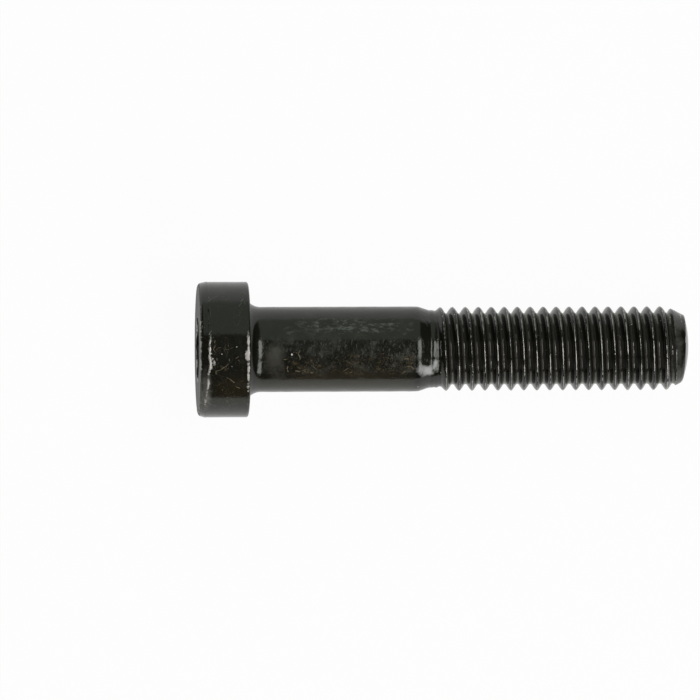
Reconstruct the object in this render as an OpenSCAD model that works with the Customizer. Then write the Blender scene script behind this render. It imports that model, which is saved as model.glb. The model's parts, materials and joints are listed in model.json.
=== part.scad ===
// Low-head hex socket cap screw, M10 x 1.5, about 50 mm long, blackened steel.
// It is one forged and rolled piece: a head with a hexagon socket, a plain shank,
// a rolled thread and a chamfered point. It lies on a table, on the rim of its head
// and on the last full crest of its thread, as a loose screw comes to rest.

/* [Head] */
// Diameter of the head
head_d = 15.6; // [15:0.1:17]
// Height of the head, from the bearing face to the face with the socket
head_h = 5.8; // [5.5:0.1:8]
// Radius of the edge round the socket face
face_edge_r = 0.5; // [0.2:0.05:0.8]
// Length of the head that tapers a little towards the socket face
taper_l = 1.2; // [0.9:0.1:2]
// How far that taper draws in at the radius
taper_in = 0.08; // [0.02:0.02:0.2]
// Radius of the edge round the bearing face
bearing_edge_r = 0.25; // [0.1:0.05:0.4]

/* [Socket] */
// Width across the flats of the hexagon
socket_af = 7.05; // [5:0.05:8]
// Depth of the flats
key_depth = 4.5; // [2.5:0.1:5]
// Diameter of the round recess that the punch's nose leaves in the floor
recess_d = 5.9; // [4.5:0.1:6.6]
// Diameter of the recess at its bottom
recess_floor_d = 4.4; // [2:0.1:4.4]
// Depth of the recess below the flats
recess_h = 0.5; // [0.2:0.1:1.2]
// How far the countersink at the mouth reaches past the middle of each flat
mouth_bevel = 0.2; // [0.05:0.05:0.35]
// Turn of the hexagon about the screw's axis, in degrees
socket_turn = 10; // [0:1:60]

/* [Shank] */
// Length of the screw under its head
length = 50.4; // [45:0.1:80]
// Diameter of the plain shank
shank_d = 9.8; // [9.6:0.05:10.2]
// Diameter at which the fillet under the head ends on the bearing face
fillet_top_d = 11.2; // [10.8:0.1:12]
// Radius of the fillet under the head
fillet_r = 1.9; // [1.2:0.1:2.4]

/* [Thread] */
// Nominal diameter of the thread, which is right-handed
thread_d = 10; // [9.8:0.05:10.1]
// How far the rolled crests stop short of the nominal radius
crest_gap = 0.12; // [0:0.02:0.2]
// Pitch of the thread
pitch = 1.5; // [1.25:0.05:1.75]
// Length of full thread, with the point
thread_l = 27.4; // [20:0.1:30]
// Length over which the crest rises out of the neck
crest_rise_l = 0.8; // [0.4:0.1:2]
// Length over which the groove then sinks to its full depth
groove_sink_l = 1; // [0.4:0.1:3]
// Diameter of the neck between shank and thread, as it was before rolling
neck_d = 9.2; // [8.9:0.05:9.4]
// Length of the neck
neck_l = 0.3; // [0.1:0.1:1.5]
// Length of the taper from the shank down to the neck
shoulder_l = 1.3; // [0.5:0.1:2.5]

/* [Point] */
// Diameter of the end, where its chamfer would meet it sharply
point_d = 7.6; // [6.5:0.1:7.9]
// Length of the chamfer
point_l = 2.05; // [1.5:0.05:3]
// Radius of the edge round the end
point_edge_r = 0.25; // [0.1:0.05:0.5]
// Distance from the chamfer back to the last full crest, on the side that lies down
last_crest_back = 1.125; // [0.3:0.025:1.4]

/* [Hidden] */

// Smoothness of turned surfaces, and steps in one rounded edge
turned_fn = 96;
arc_steps = 8;
// Steps in one turn of the thread; a multiple of 4 puts one of its ridges on the table
turn_steps = 32;
// How far a cutting shape runs past what it cuts
past = 1;
// How far the neck reaches over the start of the threaded end, and how far it stands proud
lap = 0.2;
proud = 0.02;

head_r = head_d / 2;
shank_r = shank_d / 2;
neck_r = neck_d / 2;
crest_r = thread_d / 2 - crest_gap;
point_r = point_d / 2;

// ISO 68-1 basic profile: 60 degree thread, flats of P/8 at the nominal diameter and of
// P/4 at the groove's bottom, which is rounded down to the minor diameter
nominal_flat = 1 / 8;
groove_flat = 1 / 4;
groove_r = thread_d / 2 - 0.54127 * pitch;
minor_r = thread_d / 2 - 0.61343 * pitch;
// Half the crest's width, in pitches, where the rolled crest stops
crest_half = nominal_flat / 2 + crest_gap * tan(30) / pitch;
// Places along one pitch, in pitches from the middle of the crest, each with its radius
THREAD_PROFILE = [
    [-crest_half, crest_r],
    [crest_half, crest_r],
    [0.5 - groove_flat / 2, groove_r],
    [0.5, minor_r],
    [0.5 + groove_flat / 2, groove_r]
];

// Places along the screw's axis, from the bearing face towards the point
full_thread_z = length - thread_l;
full_crest_z = full_thread_z - groove_sink_l;
runout_z = full_crest_z - crest_rise_l;
neck_z = runout_z - neck_l;
shank_end_z = neck_z - shoulder_l;
chamfer_z = length - point_l;
last_crest_z = chamfer_z - last_crest_back;

// The fillet's arc is tangent to the shank and ends on the bearing face
fillet_sweep = acos(1 - (fillet_top_d / 2 - shank_r) / fillet_r);
fillet_z = fillet_r * sin(fillet_sweep);

// Centres of the arcs that round the head's two edges and the end, as radii
face_arc_at = head_r - taper_in - face_edge_r;
bearing_arc_at = head_r - bearing_edge_r;
chamfer_angle = atan((crest_r - point_r) / point_l);
point_arc_at = point_r - point_edge_r * (1 - sin(chamfer_angle)) / cos(chamfer_angle);

socket_corner_r = socket_af / 2 / cos(30);
mouth_r = socket_af / 2 + mouth_bevel;
mouth_half_angle = 60;

// Lying down: the arc round the bearing face touches the table, and so does a crest.
// Both edges of the last crests are tried, and the one that touches first sets the tilt.
function trimmed_r(z) = crest_r - max(0, z - chamfer_z) * tan(chamfer_angle);
function tilt_on(z) =
    let (drop = bearing_arc_at - trimmed_r(z), run = z + bearing_edge_r)
    atan(drop / run) + asin(bearing_edge_r / norm([drop, run]));
tilt = min([for (turn = [0, 1], side = [-1, 1])
    tilt_on(last_crest_z + (turn + side * crest_half) * pitch)]);
// Height of the bearing face's centre over the table
lift = bearing_edge_r + bearing_arc_at * cos(tilt) - bearing_edge_r * sin(tilt);
// Both ends of the tilted screw along the table, from the bearing face's centre
head_end_x = -(head_h - face_edge_r) * cos(tilt) - face_arc_at * sin(tilt) - face_edge_r;
point_end_x = (length - point_edge_r) * cos(tilt) + point_arc_at * sin(tilt) + point_edge_r;

// Points on an arc round a centre, from one angle to another
function arc(centre, r, from, to) =
    [for (i = [0 : arc_steps]) let (a = from + (to - from) * i / arc_steps)
        centre + r * [cos(a), sin(a)]];

// The forged blank down to the neck. Its half section has the radius across and the
// place along the axis upwards.
module blank() {
    rotate_extrude($fn = turned_fn)
        polygon(concat(
            [[0, -head_h]],
            arc([face_arc_at, face_edge_r - head_h], face_edge_r, -90, 0),
            [[head_r, taper_l - head_h]],
            arc([bearing_arc_at, -bearing_edge_r], bearing_edge_r, 0, 90),
            arc([shank_r + fillet_r, fillet_z], fillet_r, 180 + fillet_sweep, 180),
            [
                [shank_r, shank_end_z],
                [neck_r + proud, neck_z],
                [neck_r + proud, runout_z],
                [0, runout_z]
            ]
        ));
}

// What the punch takes out: the hexagon, the round recess in its floor, and a light
// countersink that scallops the middle of each flat at the mouth
module socket() {
    translate([0, 0, -head_h]) {
        rotate([0, 0, socket_turn])
            translate([0, 0, -past])
                cylinder(r = socket_corner_r, h = key_depth + past, $fn = 6);
        translate([0, 0, key_depth - past])
            cylinder(d = recess_d, h = past, $fn = turned_fn);
        translate([0, 0, key_depth])
            cylinder(d1 = recess_d, d2 = recess_floor_d, h = recess_h, $fn = turned_fn);
        translate([0, 0, -past])
            cylinder(
                r1 = mouth_r + past * tan(mouth_half_angle),
                r2 = 0,
                h = past + mouth_r / tan(mouth_half_angle),
                $fn = turned_fn
            );
    }
}

// Radius of the thread at a place along the axis, where the full thread has full_r.
// The crest rises out of the neck first, and the groove sinks after it.
function grown(z, from, reach) = min(1, max(0, (z - from) / reach));
function thread_r(z, full_r) =
    let (share = full_r > neck_r
        ? grown(z, runout_z, crest_rise_l)
        : grown(z, full_crest_z, groove_sink_l))
    neck_r + share * (full_r - neck_r);

// The thread is one strip wound in a helix. Each step turns and climbs a little and
// carries one profile, and the end of a profile is the start of the same step one turn on.
module rolled_thread() {
    places = len(THREAD_PROFILE);
    turns_back = ceil((last_crest_z - neck_z) / pitch) + 1;
    turns_on = ceil((length - last_crest_z) / pitch) + 1;
    start_z = last_crest_z - turns_back * pitch;
    steps = (turns_back + turns_on) * turn_steps;
    end_z = last_crest_z + turns_on * pitch;

    function strip_point(step, place) =
        let (
            z = start_z + (step / turn_steps + THREAD_PROFILE[place][0]) * pitch,
            r = thread_r(z, THREAD_PROFILE[place][1]),
            a = 360 * step / turn_steps
        )
        [r * cos(a), r * sin(a), z];

    strip = [for (step = [0 : steps], place = [0 : places - 1]) strip_point(step, place)];
    last_edge = [for (step = [steps + 1 : steps + turn_steps]) strip_point(step, 0)];
    strip_points = concat(strip, last_edge, [[0, 0, start_z - pitch], [0, 0, end_z + pitch]]);
    start_tip = len(strip_points) - 2;
    end_tip = len(strip_points) - 1;

    // Index of a point of the strip
    function at(step, place) =
        place == places ? at(step + turn_steps, 0)
        : step <= steps ? step * places + place
        : steps * places + places + step - steps - 1;

    skin = [for (step = [0 : steps - 1], place = [0 : places - 1], half = [0, 1])
        half == 0
            ? [at(step, place), at(step, place + 1), at(step + 1, place)]
            : [at(step + 1, place), at(step, place + 1), at(step + 1, place + 1)]];
    start_cap = concat(
        [for (step = [0 : turn_steps - 1]) [start_tip, at(step, 0), at(step + 1, 0)]],
        [for (place = [0 : places - 1]) [start_tip, at(0, place + 1), at(0, place)]]
    );
    end_cap = concat(
        [for (step = [steps : steps + turn_steps - 1]) [end_tip, at(step + 1, 0), at(step, 0)]],
        [for (place = [0 : places - 1]) [end_tip, at(steps, place), at(steps, place + 1)]]
    );
    polyhedron(points = strip_points, faces = concat(skin, start_cap, end_cap));
}

// What the threaded end is cut to: a flat start inside the neck, and the chamfered point
module end_shape() {
    reach = crest_r + past;
    rotate_extrude($fn = turned_fn)
        polygon(concat(
            [
                [0, runout_z - lap],
                [reach, runout_z - lap],
                [reach, chamfer_z - past / tan(chamfer_angle)]
            ],
            arc([point_arc_at, length - point_edge_r], point_edge_r, chamfer_angle, 90),
            [[0, length]]
        ));
}

module threaded_end() {
    intersection() {
        rolled_thread();
        end_shape();
    }
}

// Lays the screw, made upright on +Z, down on the table with its point along +X
module lay_down() {
    translate([-(head_end_x + point_end_x) / 2, 0, lift])
        rotate([0, 90 + tilt, 0])
            children();
}

module cap_screw() {
    color([0.13, 0.13, 0.12])
        lay_down() {
            difference() {
                blank();
                socket();
            }
            threaded_end();
        }
}

cap_screw();
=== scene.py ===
"""Visual model of a blackened hex socket cap screw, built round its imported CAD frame.

The screw is one piece: a single skin of rings round its axis, from the bottom of the
hexagon socket over the head, shank and rolled thread to the end of the point. Three
procedural materials carry its finish, one each for head, shank and thread.
"""

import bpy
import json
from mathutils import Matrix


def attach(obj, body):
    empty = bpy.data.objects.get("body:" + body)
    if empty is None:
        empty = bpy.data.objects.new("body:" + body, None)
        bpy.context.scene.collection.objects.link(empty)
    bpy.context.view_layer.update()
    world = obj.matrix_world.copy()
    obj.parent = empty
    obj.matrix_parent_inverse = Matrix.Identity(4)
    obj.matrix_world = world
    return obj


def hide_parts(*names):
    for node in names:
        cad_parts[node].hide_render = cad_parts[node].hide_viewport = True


bl_info = {
    "name": "Socket Cap Screw",
    "version": (1, 0, 0),
    "blender": (4, 5, 0),
    "location": "3D View > Sidebar > Cap Screw",
    "description": "Builds a blackened hex socket cap screw lying on a white studio floor",
    "category": "Object",
}

import json
import math
from functools import reduce

import bmesh
import bpy
import numpy as np
from bpy.props import FloatProperty, FloatVectorProperty, IntProperty, PointerProperty
from mathutils import Matrix, Vector, noise

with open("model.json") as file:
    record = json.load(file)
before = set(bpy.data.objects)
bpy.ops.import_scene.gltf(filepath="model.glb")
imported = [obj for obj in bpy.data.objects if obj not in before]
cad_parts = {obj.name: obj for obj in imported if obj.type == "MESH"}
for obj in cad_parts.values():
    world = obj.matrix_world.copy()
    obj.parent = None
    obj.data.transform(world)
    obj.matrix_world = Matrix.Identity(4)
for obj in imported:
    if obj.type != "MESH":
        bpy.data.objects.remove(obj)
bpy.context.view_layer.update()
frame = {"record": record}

MM = 0.001
CAD_NODE = "cap_screw"
BODY = "root"
PIECE = "screw_body"

MOUNTS = {mount["name"]: mount for mount in frame["record"]["mounts"]}

# Middle of the face with the socket, and the direction from there to the point
HEAD_CENTRE = Vector(MOUNTS["key_socket"]["pos_m"])
TIP_CENTRE = Vector(MOUNTS["thread"]["pos_m"])
ALONG = (TIP_CENTRE - HEAD_CENTRE).normalized()

# Turns about the axis start downwards and go by the far side
SIDE = Vector((0, 1, 0))
DOWN = SIDE.cross(ALONG)
TILT = math.asin(-ALONG.z)

# Where the screw lies in the photograph of 700 x 700 pixels. Its axis runs almost level,
# and a point on the upper side is seen a little towards the point end.
PHOTO_PIXELS_PER_MM = 8.73
PHOTO_BEARING_X = 248.0
PHOTO_AXIS_Y = 349.9
PHOTO_AXIS_SINK = 0.0035
PHOTO_LEAN = 0.0476

# Materials of the skin, in the order in which it carries them
HEAD, SHANK, THREAD = range(3)

# How far the middle of the socket's floor lies below the rim of that floor
RECESS_DISH = 0.05 * MM

# Rings over the head's crease: how far past its line in millimetres, how much of the burr
# they carry, how worn they are, and how much more where the crease is torn open
CREASE_RINGS = (
    (-0.06, 0.4, 0.8, 0.0),
    (0.0, 1.0, 1.0, 0.0),
    (0.07, 0.5, 0.9, 0.0),
    (0.18, 0.0, 0.45, 0.2),
    (0.34, 0.0, 0.2, 0.35),
    (0.6, 0.0, 0.1, 0.3),
)

# Rings before the bearing face's edge: how far back in millimetres, and their least wear
BEARING_RINGS = ((0.42, 0.0), (0.31, 0.1), (0.22, 0.4), (0.12, 0.75), (0.0, 0.75))

# How worn the rings round the two rounded edges of the head are
FACE_EDGE_WEAR = (0.45, 0.9, 0.9, 0.9, 0.45, 0.45, 0.45, 0.2, 0.2, 0.2)
BEARING_EDGE_WEAR = (0.5, 0.25, 0.1, 0.0, 0.0, 0.0)

# Linear colours of the layers on the oxide, and the tint of its sheen
SHEEN = (0.95, 1.0, 0.92, 1.0)
HEAD_FILM = (0.026, 0.020, 0.010, 1)
HEAD_DULLED = (0.15, 0.147, 0.13, 1)
HEAD_SCRATCH = (0.16, 0.18, 0.16, 1)
# Painted shade: a black darker than the oxide, for the corner of the fillet under the head
FILLET_PAINTED_SHADE = (0.003, 0.003, 0.002, 1)
SHANK_FILM = (0.036, 0.029, 0.018, 1)
SHANK_MOTTLE = (0.10, 0.074, 0.033, 1)
SHANK_GREY = (0.062, 0.059, 0.050, 1)
# Pale scale flecks; the same colour also paints a reflection line near the head
SHANK_FLECK_AND_REFLECTION = (0.17, 0.18, 0.165, 1)
SHANK_DOT = (0.9, 0.85, 0.78, 1)
CHAMFER_WORN = (0.17, 0.166, 0.155, 1)
GROOVE_BURNISHED = (0.11, 0.105, 0.095, 1)
# Pale matt grey on the neck: partly its wear, partly a painted highlight standing in for worn
# steel's gleam
NECK_WEAR_AND_HIGHLIGHT_PALE = (0.48, 0.48, 0.47, 1)
WHITE = (1, 1, 1, 1)

# Stage, in metres: the floor, the side that the world's panel is on with how softly it ends
# and how far it reaches, and each strip light's centre, width and depth
FLOOR_WIDTH = 40
PANEL_SIDE = (0, 0.9012, -0.4334)
PANEL_EDGE = 0.006
PANEL_ENDS = (0.3, 0.5)
POINT_STRIP = ((0.71, 0, 1.6), 0.68, 1.5)
SIDE_STRIP = ((0.71, -1.27, 0.97), 0.68, 1.18)

# Camera: the place that it stands over, its roll, and its lens
CAMERA_OVER = (-10.39 * MM, -0.095 * MM)
CAMERA_ROLL = math.radians(-0.19)
SENSOR_WIDTH = 36
LENS = 488.0
NEAREST = 0.05
FARTHEST = 50

# How far apart the node editor shows the nodes, and the origin of a vector socket
NODE_COLUMN = 220
NODE_ROW = 320
ORIGIN = (0, 0, 0)

# Radii in millimetres of the rounds that the scratches lie on, and the half width that a
# scratch is drawn with for each width that is seen, because its sides are soft
HEAD_RADIUS = 7.8
SHANK_RADIUS = 4.9
NECK_RADIUS = 4.5
SCRATCH_SPREAD = 0.65

# Scratches on the upper side, from one pixel of the photograph to another, with their width in
# pixels and their strength. A few rows, marked where they stand, are painted reflections or
# highlights instead
HEAD_PALE = [
    (209.0, 301.6, 212.3, 298.0, 1.0, 0.6),
    (212.3, 298.0, 219.8, 295.2, 0.9, 0.5),
    (239.6, 306.3, 242.6, 302.3, 0.9, 0.55),
    (241.8, 301.4, 244.6, 298.3, 1.4, 0.6),
    (245.0, 300.5, 246.6, 304.0, 0.9, 0.4),
    (209.2, 322.4, 210.0, 323.4, 1.6, 0.5),
    (210.8, 306.0, 211.2, 316.0, 1.2, 0.2),
    (208.6, 402.3, 213.0, 404.4, 0.9, 0.7),
    (213.0, 404.4, 217.4, 405.8, 0.8, 0.7),
    (232.6, 404.6, 238.2, 402.6, 0.8, 0.4),
]
HEAD_TAN = [
    (214.6, 342.6, 215.3, 340.0, 1.0, 0.7),
    (213.6, 349.0, 215.4, 344.6, 0.8, 0.8),
    (213.6, 349.0, 215.2, 352.0, 0.7, 0.8),
    (215.6, 350.4, 218.6, 347.4, 0.6, 0.7),
    (218.6, 347.4, 222.4, 347.2, 0.6, 0.6),
    (224.0, 348.6, 229.0, 349.2, 0.5, 0.4),
    (230.0, 348.4, 234.0, 346.6, 0.5, 0.4),
    (235.6, 358.2, 239.2, 355.6, 0.9, 0.5),
    (238.6, 358.8, 239.4, 361.2, 0.8, 0.4),
    (228.6, 363.8, 225.0, 366.4, 0.8, 0.8),
    (225.0, 366.4, 220.8, 369.0, 0.9, 1.0),
    (220.8, 369.6, 215.8, 370.4, 0.8, 0.7),
    (216.0, 370.4, 216.4, 374.0, 0.9, 0.8),
    (223.6, 371.0, 228.0, 367.6, 0.6, 0.4),
    (226.0, 376.3, 230.0, 378.6, 0.7, 0.5),
    (229.6, 378.3, 234.8, 382.3, 1.0, 0.8),
    (236.2, 386.2, 240.4, 387.8, 0.9, 0.8),
]
HEAD_BARE = [
    (236.4, 346.3, 236.8, 346.6, 1.5, 1.0),
    (221.8, 353.2, 222.0, 354.2, 1.4, 0.8),
    (231.7, 366.0, 232.3, 366.2, 1.4, 0.6),
    (228.4, 345.2, 228.7, 345.6, 1.2, 0.5),
    (229.2, 358.4, 229.4, 360.4, 1.5, 0.25),
    (227.8, 397.0, 228.2, 397.6, 1.5, 0.25),
]
SHANK_PALE_AND_REFLECTION = [
    (284.0, 328.2, 291.6, 326.0, 3.4, 0.7),
    (296.0, 322.2, 302.8, 327.2, 3.6, 0.7),
    (287.6, 332.6, 293.4, 331.2, 5.0, 1.0),
    (304.2, 318.8, 305.0, 316.8, 2.2, 0.8),
    (305.4, 328.0, 319.6, 330.2, 3.4, 0.7),
    (310.4, 333.2, 316.0, 334.2, 3.2, 0.7),
    (322.6, 328.2, 329.6, 325.6, 3.6, 0.7),
    (324.8, 332.4, 334.0, 329.2, 3.4, 0.7),
    (335.2, 322.0, 342.0, 327.0, 3.6, 0.6),
    (376.4, 325.4, 381.4, 324.4, 3.8, 0.7),
    (391.6, 330.2, 394.8, 329.2, 3.6, 0.7),
    (403.0, 333.4, 407.0, 332.6, 3.6, 0.7),
    (408.4, 330.6, 414.4, 329.0, 3.0, 0.7),
    # Not a smear: a painted reflection, a faint pale line near the head
    (269.4, 344.0, 270.0, 360.0, 2.4, 0.55),
]
SHANK_TAN = [
    (295.4, 351.9, 298.2, 352.8, 0.8, 0.8),
    (298.2, 352.8, 300.9, 349.6, 0.9, 0.9),
    (298.2, 352.8, 300.6, 358.8, 1.0, 0.9),
    (283.8, 359.2, 287.2, 358.9, 1.0, 1.0),
    (288.2, 365.8, 287.2, 368.8, 1.1, 1.0),
    (287.2, 368.8, 289.0, 371.6, 1.0, 0.9),
    (295.8, 370.2, 300.2, 371.2, 1.2, 1.0),
    (300.2, 371.0, 309.2, 368.2, 0.8, 0.7),
    (310.6, 372.2, 314.0, 372.4, 1.3, 0.9),
    (311.6, 364.2, 317.0, 369.4, 0.8, 0.6),
    (343.8, 370.6, 349.2, 367.4, 0.9, 0.7),
    (350.2, 372.4, 352.6, 371.6, 1.3, 0.8),
    (403.6, 358.4, 409.6, 358.6, 1.3, 0.9),
    (405.6, 366.2, 411.2, 366.0, 1.0, 0.8),
    (411.2, 366.0, 414.6, 368.4, 1.0, 0.9),
    (403.8, 372.2, 406.2, 370.8, 1.3, 0.8),
]
SHANK_BARE = [
    (291.9, 353.4, 292.0, 354.6, 1.7, 1.0),
]
# The neck's worn patch, whose pale grey is partly a painted highlight
NECK_WEAR_AND_HIGHLIGHT_MARKS = [
    (420.5, 363.0, 423.0, 373.0, 12.0, 0.95),
    (426.0, 367.5, 431.0, 372.0, 16.0, 1.0),
    (436.8, 360.2, 434.8, 368.0, 5.0, 0.8),
    (420.0, 370.8, 420.6, 371.4, 2.2, 1.0),
    (421.2, 374.4, 421.8, 375.0, 2.6, 1.0),
    (427.5, 372.0, 432.0, 372.6, 3.4, 1.0),
    # Painted highlight bars on the first crest, not wear
    (442.2, 341.0, 441.8, 356.5, 2.2, 0.6),
    (445.2, 343.0, 445.2, 356.5, 3.4, 0.32),
    (445.0, 359.0, 446.0, 386.0, 5.0, 0.36),
]


def length(default, name, description, low=0.0):
    """A length in millimetres as a property that Blender shows in the scene's unit."""
    return FloatProperty(
        name=name,
        description=description,
        default=default * MM,
        min=low * MM,
        precision=5,
        unit="LENGTH",
        subtype="DISTANCE",
    )


def colour(default, name, description):
    """A colour that keeps its linear values."""
    return FloatVectorProperty(
        name=name, description=description, default=default, min=0, max=1, size=3, subtype="COLOR"
    )


def share(default, name, description):
    """A number from 0 to 1."""
    return FloatProperty(
        name=name, description=description, default=default, min=0, max=1, subtype="FACTOR"
    )


class ScrewSizes(bpy.types.PropertyGroup):
    """Sizes of the screw, as in its CAD source but with crests, neck and end as rolled"""

    head_diameter: length(15.6, "Head diameter", "Diameter of the head")
    head_height: length(5.8, "Head height", "From the bearing face to the face with the socket")
    face_edge: length(0.5, "Face edge", "Radius of the edge round the socket face")
    taper_length: length(1.2, "Taper length", "Length of the head that draws in to the face")
    taper_in: length(0.08, "Taper", "How far the head draws in at the radius")
    bearing_edge: length(0.25, "Bearing edge", "Radius of the edge round the bearing face")
    across_flats: length(7.05, "Across flats", "Width of the hexagon socket")
    key_depth: length(4.5, "Key depth", "Depth of the socket's flats")
    recess_diameter: length(5.9, "Recess", "Diameter of the round recess in the socket's floor")
    recess_floor: length(4.4, "Recess floor", "Diameter of the recess at its bottom")
    recess_depth: length(0.5, "Recess depth", "Depth of the recess below the flats")
    mouth_bevel: length(0.2, "Mouth bevel", "Reach of the countersink past a flat's middle")
    socket_turn: FloatProperty(
        name="Socket turn",
        description="Turn of the hexagon about the screw's axis",
        default=math.radians(10),
        subtype="ANGLE",
    )
    shank_diameter: length(9.8, "Shank diameter", "Diameter of the plain shank")
    fillet_diameter: length(11.2, "Fillet diameter", "Where the fillet meets the bearing face")
    fillet_radius: length(1.9, "Fillet radius", "Radius of the fillet under the head")
    under_head: length(50.4, "Length", "Length of the screw under its head")
    crest_diameter: length(9.66, "Crest diameter", "Diameter over the rolled crests")
    root_diameter: length(8.16, "Root diameter", "Diameter at the bottom of the groove")
    pitch: length(1.5, "Pitch", "Distance from one crest to the next", low=0.5)
    thread_length: length(27.4, "Thread length", "Length of full thread, with the point")
    crest_rise: length(0.8, "Crest rise", "Length over which the crest rises out of the neck")
    groove_sink: length(1.0, "Groove sink", "Length over which the groove sinks to full depth")
    neck_diameter: length(9.2, "Neck diameter", "Diameter between shank and thread")
    neck_length: length(0.3, "Neck length", "Length of the neck")
    neck_sink: length(0.22, "Neck sink", "How far rolling has drawn the neck in")
    shoulder: length(1.3, "Shoulder", "Length of the taper from the shank to the neck")
    point_diameter: length(7.6, "Point diameter", "Diameter of the end, where its chamfer stops")
    point_length: length(2.05, "Point length", "Length of the chamfer")
    point_edge: length(0.25, "Point edge", "Radius of the edge round the end")
    last_crest_back: length(1.125, "Last crest", "From the chamfer back to the last full crest")
    out_of_square: length(0.2, "Out of square", "How much shorter one side of the end is")
    end_crown: length(0.56, "End crown", "How far the middle of the end stands out")
    columns: IntProperty(
        name="Columns",
        description="Points in one ring; a multiple of 36 keeps the hexagon's corners",
        default=144,
        min=36,
        step=36,
    )
    rings_per_pitch: IntProperty(
        name="Rings per pitch",
        description="Rings along one pitch of the thread",
        default=18,
        min=8,
    )


class ScrewFinish(bpy.types.PropertyGroup):
    """Colours and wear of the blackened steel"""

    oxide: colour((0.0075, 0.0073, 0.0050), "Oxide", "Black oxide in its deepest places")
    scale: colour((0.030, 0.028, 0.021), "Scale", "Greyer scale where the oxide is thin")
    tan: colour((0.26, 0.21, 0.13), "Tan", "Brown that shows through scratches and pits")
    steel: colour((0.42, 0.40, 0.37), "Steel", "Bare steel where an edge is chipped")
    edge_wear: share(0.55, "Edge wear", "How much bare steel shows along the edges")
    crest_wear: share(0.47, "Crest wear", "How much bare steel shows on the thread's crests")
    blotches: share(0.5, "Blotches", "How much pale scale lies on the shank")


class StageSettings(bpy.types.PropertyGroup):
    """Floor, studio light and camera"""

    floor: colour((0.95, 0.95, 0.95), "Floor", "Colour of the floor")
    floor_glow: share(0.96, "Floor glow", "Share of the floor that shows plain white to the camera")
    mirrored_glow: share(0.6, "Mirrored glow", "Share that shows plain white in reflections")
    strip_power: FloatProperty(
        name="Strip power",
        description="Power of the strip light over the point, in watts",
        default=14.0,
        min=0,
        unit="POWER",
    )
    side_power: FloatProperty(
        name="Side strip power",
        description="Power of the strip light low on the near side, in watts",
        default=9.9,
        min=0,
        unit="POWER",
    )
    panel: colour((0.50, 0.55, 0.50), "Panel", "Pale panel over the far side")
    gloom: colour((0.045, 0.045, 0.04), "Gloom", "Dark studio over the near side and above")
    camera_height: length(1100, "Camera height", "Height of the camera over the floor")


def place_on_screw(place, radius, turn):
    """Points at places along the axis from the bearing face, at radii and turns about it."""
    sizes = bpy.context.scene.screw_sizes
    origin = np.array(HEAD_CENTRE + sizes.head_height * ALONG)
    across = np.cos(turn)[..., None] * np.array(DOWN) + np.sin(turn)[..., None] * np.array(SIDE)
    return origin + place[..., None] * np.array(ALONG) + radius[..., None] * across


def arc(centre, radius, start, end, steps):
    """Places and radii along an arc, from one angle to another in degrees."""
    angles = np.radians(np.linspace(start, end, steps + 1))
    return [(centre[1] + radius * math.sin(a), centre[0] + radius * math.cos(a)) for a in angles]


def soft_step(value, start, reach):
    """Rises smoothly from 0 to 1 over a reach from a start."""
    t = np.clip((value - start) / reach, 0, 1)
    return t * t * (3 - 2 * t)


def roughen(places, turns, grain, depth, seed):
    """Small bumps and hollows, as a change of radius at each point."""
    shift = Vector((seed * 7.3, seed * 3.1, seed * 5.7))
    around = 5 * MM / grain
    out = np.empty(len(turns))
    for i, (place, turn) in enumerate(zip(places, turns)):
        spot = Vector((place / grain, around * math.cos(turn), around * math.sin(turn)))
        out[i] = noise.noise(spot + shift)
    return depth * out


def roughen_round(turns, grain, depth, seed):
    """Small bumps and hollows round one ring."""
    return roughen(np.zeros(len(turns)), turns, grain, depth, seed)


def degrees_from(turns, middle):
    """How many degrees each column lies from a middle one, from -180 to 180."""
    return np.mod(np.degrees(turns) - middle + 180, 360) - 180


def worn_side(turns, middle, half, rest, seed):
    """Full wear on one side of the screw, and less and uneven wear on the rest of it."""
    blend = 12
    there = 1 - soft_step(np.abs(degrees_from(turns, middle)), half - blend / 2, blend)
    patchy = roughen_round(turns, grain=2.5 * MM, depth=1.0, seed=seed)
    return np.maximum(there, np.clip(rest + 0.6 * patchy, 0, 0.8))


def lobe(turns, middle, half):
    """A bell curve over the turns, 1 at its middle."""
    return bell(degrees_from(turns, middle), half)


def bell(away, half):
    """A bell curve over a distance, 1 where there is none."""
    return np.exp(-((away / half) ** 2))


def ramp(value, start, reach, first_blend, last_blend):
    """Rises steadily from 0 to 1 over a reach from a start, with rounded ends."""
    before, after = value - start, value - start - reach
    rise = before + np.sqrt(before**2 + first_blend**2) - after - np.sqrt(after**2 + last_blend**2)
    return rise / (2 * reach)


class Skin:
    """Rings of points round the axis, one after another, with how much each one wears."""

    def __init__(self, columns):
        self.turns = np.arange(columns) * math.tau / columns
        self.places = []
        self.radii = []
        self.wear = []
        self.burnish = []
        self.finish = []

    def ring(self, place, radius, wear=0.0, finish=HEAD, burnish=0.0):
        """Adds a ring. Its values are one number or one for each column."""
        even = np.ones(len(self.turns))
        self.places.append(place * even)
        self.radii.append(radius * even)
        self.wear.append(wear * even)
        self.burnish.append(burnish * even)
        self.finish.append(finish)

    def span(self, start, end, rings):
        """Adds rings from one (place, radius) to another, without the first."""
        for i in range(1, rings + 1):
            t = i / rings
            self.ring(start[0] + t * (end[0] - start[0]), start[1] + t * (end[1] - start[1]))


def hexagon_radius(sizes, turns):
    """Distance from the axis to the socket's wall, with its corners rounded a little."""
    from_corner = np.mod(turns - sizes.socket_turn, math.radians(60))
    from_flat = from_corner - math.radians(30)
    flat = sizes.across_flats / 2 / np.cos(from_flat)
    corner = 0.985 * sizes.across_flats / 2 / math.cos(math.radians(30))
    return np.minimum(flat, corner)


def thread_places(sizes):
    """Where the shank ends, the crest starts and is full, and the chamfer starts."""
    full_crest = sizes.under_head - sizes.thread_length - sizes.groove_sink
    runout = full_crest - sizes.crest_rise
    shank_end = runout - sizes.neck_length - sizes.shoulder
    return shank_end, runout, full_crest, sizes.under_head - sizes.point_length


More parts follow.
